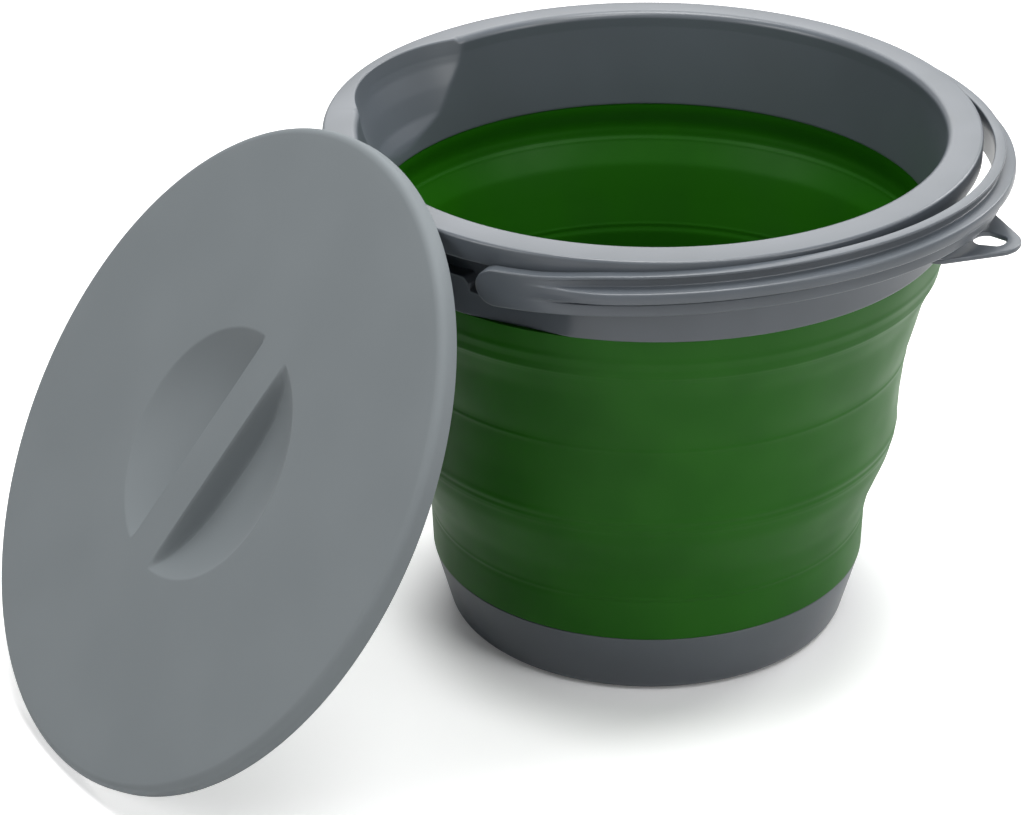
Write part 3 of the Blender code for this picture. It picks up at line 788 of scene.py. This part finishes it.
@dataclass
class Bail:
    """Ribbed bail handle, one moulding from ear to ear with its two pins.

    The section runs from a flat pad at each ear to the full ribs. Depths are measured outward
    from the inner face, heights are shares of half the handle's height.
    """

    ear_inner: float = 162.3
    bow: float = 7.8
    flattening: float = 3.8
    height: float = 19.5
    bead_depth: float = 10.0
    bead_crown: float = 0.5
    top_depth: float = 5.4
    top_fall: float = 0.6
    top_squash: float = 0.9
    top_swell: float = 2.0
    foot_depth: float = 5.6
    web_depth: float = 3.3
    groove_depth: float = 4.0
    ear_depth: float = 6.0
    rib_start: float = 6.0
    rib_run: float = 38.0
    grip_half_degrees: float = 25.0
    edge_round: float = 0.8
    ear_steps: int = 14
    stations: int = 180
    pivot_height: float = 247.1
    rest_lift_degrees: float = 2.3
    pin_radius: float = 4.5
    pin_start: float = 165.3
    pin_end: float = 151.4

    def radius(self, angle: float) -> float:
        """Inner radius of the plan at an angle from the middle, in radians."""
        flattening = self.flattening * math.sin(2.0 * angle) ** 2
        return self.ear_inner + self.bow * math.cos(angle) ** 2 - flattening

    def station(self, angle: float) -> tuple[np.ndarray, np.ndarray]:
        """Point of the bail's inner face at an angle, and which way is outward."""
        def point(turn: float) -> np.ndarray:
            """A point of the inner face."""
            return self.radius(turn) * np.array([math.sin(turn), -math.cos(turn), 0.0])
        along = point(angle + 0.02) - point(angle - 0.02)
        outward = np.array([along[1], -along[0], 0.0])
        return point(angle), outward / np.hypot(outward[0], outward[1])

    def section(self, ribbed: float, half: float, gripped: float, shrink: float) -> np.ndarray:
        """Cross-section of the bail.

        Args:
            ribbed: 0 for the flat pad at an ear, 1 for full ribs.
            half: Half the section's height.
            gripped: 1 where the hand holds it and the small groove is filled.
            shrink: How much shallower the section is at the very end of an ear.

        Returns:
            Points (outward, up).
        """
        def depth(full: float) -> float:
            """A depth between the flat pad's and the full rib's."""
            return self.ear_depth + (full - self.ear_depth) * ribbed - shrink
        groove = self.groove_depth + (self.foot_depth - 0.3 - self.groove_depth) * gripped
        upper = self.top_squash * half + self.top_swell * ribbed
        soft = min(self.edge_round, 0.4 * half)
        fine, rib_round = 0.35 * soft, (0.3 + 0.9 * ribbed) * soft
        bead, web, top = depth(self.bead_depth), depth(self.web_depth), depth(self.top_depth)
        return rounded([
            Corner(shrink, -half, soft, 3), Corner(depth(self.foot_depth), -half, 1.2 * soft, 4),
            Corner(depth(self.foot_depth), -0.40 * half, fine + 0.2 * soft, 3),
            Corner(depth(groove), -0.38 * half, fine, 2),
            Corner(depth(groove), -0.27 * half, fine, 2), Corner(bead, -0.19 * half, rib_round, 4),
            Corner(depth(self.bead_depth + self.bead_crown), 0.08 * half, 8.0, 4),
            Corner(bead, 0.36 * half, rib_round, 4), Corner(web, 0.46 * half, 0.8 * soft, 3),
            Corner(web, upper - 0.21 * half, 0.8 * soft, 3),
            Corner(top, upper - 0.19 * half, fine, 3),
            Corner(top, upper - self.top_fall * ribbed, soft, 4), Corner(shrink, upper, soft, 3)])

    def rings(self) -> np.ndarray:
        """Sections from ear to ear, level about the pivots' axis."""
        half, quarter = self.height / 2.0, math.pi / 2.0
        turns = np.radians(np.linspace(4.0, 90.0, self.ear_steps, endpoint=False))
        ear = [(half * math.cos(turn), half * math.sin(turn)) for turn in turns]
        places = [(-quarter, back, tall) for back, tall in ear]
        places += [(angle, 0.0, half)
                   for angle in np.linspace(-quarter, quarter, self.stations + 1)]
        places += [(quarter, back, tall) for back, tall in reversed(ear)]
        grip = self.grip_half_degrees
        rings = []
        for angle, back, tall in places:
            inner, outward = self.station(angle)
            ribbed = float(smoothstep(-inner[1] - half, self.rib_start,
                                      self.rib_start + self.rib_run))
            gripped = float(1.0 - smoothstep(abs(math.degrees(angle)), grip - 0.4, grip + 0.4))
            left = min(half - back, self.edge_round)
            shrink = self.edge_round - math.sqrt(max(0.0, self.edge_round ** 2
                                                     - (self.edge_round - left) ** 2))
            ring = [inner + np.array([0.0, back, up]) + outward * out
                    for out, up in self.section(ribbed, tall, gripped, shrink * 0.9)]
            rings.append(ring)
        return np.array(rings)

    def pin_section(self) -> np.ndarray:
        """Section of a pin, as (radius, distance along X)."""
        return rounded([Corner(0.0, self.pin_end), Corner(self.pin_radius, self.pin_end, 0.6, 3),
                        Corner(self.pin_radius, self.pin_start), Corner(0.0, self.pin_start)])

    def build(self) -> bpy.types.Object:
        """Skin the bail, lift it to its rest and dress it."""
        place = (Matrix.Translation((0.0, 0.0, self.pivot_height))
                 @ Matrix.Rotation(math.radians(-self.rest_lift_degrees), 4, "X"))
        skin = Skin("bail_handle")
        rings = self.rings()
        rows, columns = rings.shape[:2]
        skin.sheet(rings, wrap_columns=True, place=place)
        skin.cap(range(columns))
        skin.cap(range((rows - 1) * columns, rows * columns))
        for side in Side:
            turn = place @ Matrix.Rotation(side.value * math.pi / 2.0, 4, "Y")
            skin.sheet(turned(self.pin_section(), round_azimuths(40)), wrap_columns=True,
                       place=turn)
        piece = skin.piece(GREY_POLYPROPYLENE.material())
        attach(piece, Body.BAIL.value)
        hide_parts("handle")
        return piece


@dataclass
class Lid:
    """Loose round lid, one moulding with a turned-down edge and a finger bar between two scoops.

    It is modelled face up about its own middle, then stood on the floor against the lip.
    """

    radius: float = 166.0
    depth: float = 9.6
    plate: float = 1.9
    skirt_wall: float = 2.0
    edge_round: float = 4.5
    edge_run: float = 9.0
    dish_radius: float = 63.0
    dish_depth: float = 14.0
    dish_wall: float = 2.2
    dish_power: float = 3.2
    dish_soft: float = 0.4
    bar_half: float = 11.2
    bar_run: float = 4.0
    bar_turn_degrees: float = -10.0
    patch_half: float = 66.0
    patch_step: float = 0.6
    bearing_degrees: float = 147.6
    offset: float = 10.0
    reach: float = 19.4
    lean_gap: float = 0.1
    contact_round: float = 3.0
    rim: Rim = field(default_factory=Rim)

    def place(self) -> Matrix:
        """Stand the lid on the floor with its underside against the lip."""
        soft = self.contact_round
        along, across = 2.0 * self.radius - self.reach, self.depth - self.plate - soft
        rise = self.rim.top - soft
        lean = math.atan2(across, along) + math.acos(min(1.0, rise / math.hypot(along, across)))
        height = self.radius * math.cos(lean) + self.depth * math.sin(lean)
        lip = (self.rim.radius - soft) * math.cos(lean) + rise * math.sin(lean) + soft
        distance = (lip + self.lean_gap + self.plate - height * math.sin(lean)) / math.cos(lean)
        bearing = math.radians(self.bearing_degrees)
        outward = Vector((math.cos(bearing), math.sin(bearing), 0.0))
        sideways = Vector((-math.sin(bearing), math.cos(bearing), 0.0))
        where = outward * distance - sideways * self.offset + Vector((0.0, 0.0, height))
        return (Matrix.Translation(where) @ Matrix.Rotation(bearing + math.pi / 2.0, 4, "Z")
                @ Matrix.Rotation(math.pi / 2.0 - lean, 4, "X"))

    def sunk(self, across: np.ndarray, along: np.ndarray, spare: float) -> np.ndarray:
        """Depth of the scoops and a spare wall below them, 0 on the bar and outside them."""
        share = np.hypot(across, along) / (self.dish_radius + spare)
        bowl = (self.dish_depth + spare) * (1.0 - share ** self.dish_power)
        side = self.bar_half - spare
        return (soft_max(bowl, 0.0, self.dish_soft)
                * smoothstep(np.abs(across), side, side + self.bar_run))

    def lines(self) -> tuple[np.ndarray, np.ndarray]:
        """Grid lines across and along the bar, closer together at the bar's steep sides."""
        half, step = self.patch_half, self.patch_step
        spots = [(sign * (self.bar_half + shift), 2.6)
                 for sign in (-1.0, 1.0) for shift in (2.0, -0.4)]
        return graded(-half, half, step, spots, 0.35), graded(-half, half, step)

    def face(self, spare: float, level: float) -> np.ndarray:
        """Square patch with its scoops, of the face, or of the back if wall is to spare."""
        across, along = self.lines()
        x, y = np.meshgrid(across, along)
        sunk = self.sunk(x, y, spare)
        z = -soft_max(sunk, -level, 0.8) if spare else level - sunk
        turn = math.radians(self.bar_turn_degrees)
        return np.stack([x * math.cos(turn) - y * math.sin(turn),
                         x * math.sin(turn) + y * math.cos(turn), z], axis=-1)

    def perimeter(self, patch: np.ndarray) -> np.ndarray:
        """Points round the outside of a patch, in order."""
        return np.concatenate([patch[0, :-1], patch[:-1, -1], patch[-1, :0:-1], patch[:0:-1, 0]])

    def rings(self, top: np.ndarray, bottom: np.ndarray) -> np.ndarray:
        """Rings from the face's patch, over the turned-down edge and back to the back's patch."""
        angles = np.arctan2(top[:, 1], top[:, 0])
        inner, flat = self.radius - self.skirt_wall, self.radius - self.edge_run
        edge = rounded([
            Corner(flat, 0.0), Corner(self.radius, 0.0, self.edge_round, 12),
            Corner(self.radius, -self.depth, 0.6, 3), Corner(inner, -self.depth, 0.5, 2),
            Corner(inner, -self.plate, 2.2, 5), Corner(flat, -self.plate)])
        circles = [np.stack([radius * np.cos(angles), radius * np.sin(angles),
                             np.full(len(angles), height)], axis=-1) for radius, height in edge]
        shares = np.linspace(0.0, 1.0, 12)[:-1]
        over = [top + (circles[0] - top) * share for share in shares]
        under = [circles[-1] + (bottom - circles[-1]) * share for share in shares[1:]]
        return np.array(over + circles + under + [bottom])

    def build(self) -> bpy.types.Object:
        """Skin the lid, lean it on the lip and dress it."""
        face, back = self.face(0.0, 0.0), self.face(self.dish_wall, -self.plate)
        place = self.place()
        skin = Skin("loose_lid_disc")
        skin.sheet(face, place=place)
        skin.sheet(back, place=place)
        skin.sheet(self.rings(self.perimeter(face), self.perimeter(back)), wrap_columns=True,
                   place=place)
        piece = skin.piece(LID_POLYPROPYLENE.material())
        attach(piece, Body.LID.value)
        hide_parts("lid")
        return piece


# Studio


@dataclass(frozen=True)
class SoftBox:
    """A round soft lamp: where it hangs and how wide it is, in metres, and its power in watts."""

    name: str
    place: Triple
    size: float
    power: float


@dataclass
class Studio:
    """Plain pale floor, with a painted contact shadow round the bucket's foot, under soft lamps.
    """

    floor_size: float = 14.0
    floor_colour: str = "#e8e8e8"
    # The lift is lowest close round the foot, inside two radii about a centre: a painted contact
    # shadow.
    painted_shadow_lift: float = 0.08
    floor_lift: float = 0.48
    painted_shadow_centre: Triple = (-0.014, -0.014, 0.0)
    painted_shadow_radii: tuple[float, float] = (0.096, 0.150)
    far_lift: float = 0.55
    far_radii: tuple[float, float] = (0.6, 2.2)
    mirrored: float = 0.3
    lamps: tuple[SoftBox, ...] = (
        SoftBox("overhead_softbox", (0.15, 0.15, 1.9), 1.0, 24.0),
        SoftBox("high_front_softbox", (-0.5, -0.8, 1.8), 0.8, 12.5),
        SoftBox("tab_side_softbox", (-0.45, -2.1, 0.95), 1.0, 11.0),
        SoftBox("far_side_softbox", (1.53, -0.78, 1.2), 1.0, 16.6),
        SoftBox("lid_side_softbox", (-1.63, 0.96, 1.0), 1.0, 11.8),
        SoftBox("back_softbox", (1.353, 0.634, 1.51), 1.8, 15.5))
    aim: Triple = (0.0, 0.0, 0.13)

    def floor(self) -> bpy.types.Object:
        """Lay the floor: white paper to the camera, lifted least round the foot as a painted
        shadow.
        """
        mesh = bpy.data.meshes.new("studio_floor")
        half = self.floor_size / 2.0
        corners = [(-half, -half, 0.0), (half, -half, 0.0), (half, half, 0.0), (-half, half, 0.0)]
        mesh.from_pydata(corners, [], [range(len(corners))])
        made = bpy.data.materials.new("studio_floor_paper")
        made.use_nodes = True
        tree = made.node_tree
        tree.nodes.clear()
        paper = add_node(tree, "ShaderNodeBsdfDiffuse",
                         {"Color": linear(self.floor_colour)}).outputs["BSDF"]
        white = add_node(tree, "ShaderNodeBsdfDiffuse", {"Color": linear(WHITE)}).outputs["BSDF"]
        where = add_node(tree, "ShaderNodeTexCoord").outputs["Object"]
        away = add_node(tree, "ShaderNodeVectorMath", {0: where, 1: self.painted_shadow_centre},
                        operation="DISTANCE").outputs["Value"]
        # Painted shadow: the lift is lowest round the foot and eases up to the floor's full lift.
        near = eased(tree, away, self.painted_shadow_radii, (self.painted_shadow_lift, self.floor_lift))
        far = eased(tree, away, self.far_radii, (0.0, self.far_lift))
        lift = add_node(tree, "ShaderNodeEmission",
                        {"Strength": reckoned(tree, "ADD", near, far)}).outputs["Emission"]
        lifted = add_node(tree, "ShaderNodeAddShader", {0: white, 1: lift}).outputs["Shader"]
        mixed = add_node(tree, "ShaderNodeMixShader",
                         {0: self.seen(tree, self.mirrored), 1: paper, 2: lifted})
        add_node(tree, "ShaderNodeOutputMaterial", {"Surface": mixed.outputs["Shader"]})
        mesh.materials.append(made)
        floor = add_object("studio_floor", mesh)
        return floor

    def seen(self, tree: bpy.types.NodeTree, mirrored: float = 1.0) -> Socket:
        """Give 1 for what the camera sees straight or through a piece, and less if mirrored."""
        path = add_node(tree, "ShaderNodeLightPath").outputs
        gloss = reckoned(tree, "MULTIPLY", path["Is Glossy Ray"], mirrored)
        first = reckoned(tree, "MAXIMUM", path["Is Camera Ray"], gloss)
        return reckoned(tree, "MAXIMUM", first, path["Is Transmission Ray"])

    def world(self) -> None:
        """White surroundings that are seen but give no light of their own."""
        world = bpy.data.worlds.new("studio_world")
        world.use_nodes = True
        tree = world.node_tree
        tree.nodes.clear()
        light = add_node(tree, "ShaderNodeBackground",
                         {"Color": linear(WHITE), "Strength": self.seen(tree)})
        add_node(tree, "ShaderNodeOutputWorld", {"Surface": light.outputs["Background"]})
        bpy.context.scene.world = world

    def lights(self) -> None:
        """Hang the soft lamps, all turned to the bucket."""
        for box in self.lamps:
            lamp = bpy.data.lights.new(box.name, "AREA")
            lamp.shape = "DISK"
            lamp.size = box.size
            lamp.energy = box.power
            light = add_object(box.name, lamp)
            light.location = box.place
            back = Vector(box.place) - Vector(self.aim)
            light.rotation_mode = "QUATERNION"
            light.rotation_quaternion = back.to_track_quat("Z", "Y")

    def build(self) -> None:
        """Set the stage."""
        self.floor()
        self.world()
        self.lights()
        bpy.context.scene.view_settings.view_transform = "Standard"


@dataclass
class PhotoCamera:
    """Camera at the photograph's viewing angle, fitted to the rim, seam and fold circles."""

    place: Triple = (-1.47971, -0.69000, 0.96092)
    right: Triple = (0.45794733, -0.88895606, -0.00643207)
    up: Triple = (0.41487761, 0.20731468, 0.88594424)
    lens: float = 126.5625
    sensor: float = 36.0

    def build(self) -> bpy.types.Object:
        """Make the camera the scene's own."""
        data = bpy.data.cameras.new("photo_camera")
        data.lens = self.lens
        data.sensor_width = self.sensor
        camera = add_object("photo_camera", data)
        right, up = Vector(self.right), Vector(self.up)
        back = right.cross(up)
        camera.matrix_world = Matrix.Translation(self.place) @ Matrix(
            (right, up, back)).transposed().to_4x4()
        bpy.context.scene.camera = camera
        return camera


def main() -> None:
    """Build every piece round the frame, light it and set the camera."""
    logging.basicConfig(level=logging.INFO, format="%(name)s: %(message)s")
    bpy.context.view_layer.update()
    PhotoCamera().build()
    builders: tuple[Callable[[], object], ...] = (
        Base().build, FoldingWall().build, Rim().build, Bail().build, Lid().build)
    for build in builders:
        made = build()
        for piece in made if isinstance(made, list) else [made]:
            log.info("%s: %d faces", piece.name, len(piece.data.polygons))
    Studio().build()


if __name__ == "__main__":
    main()
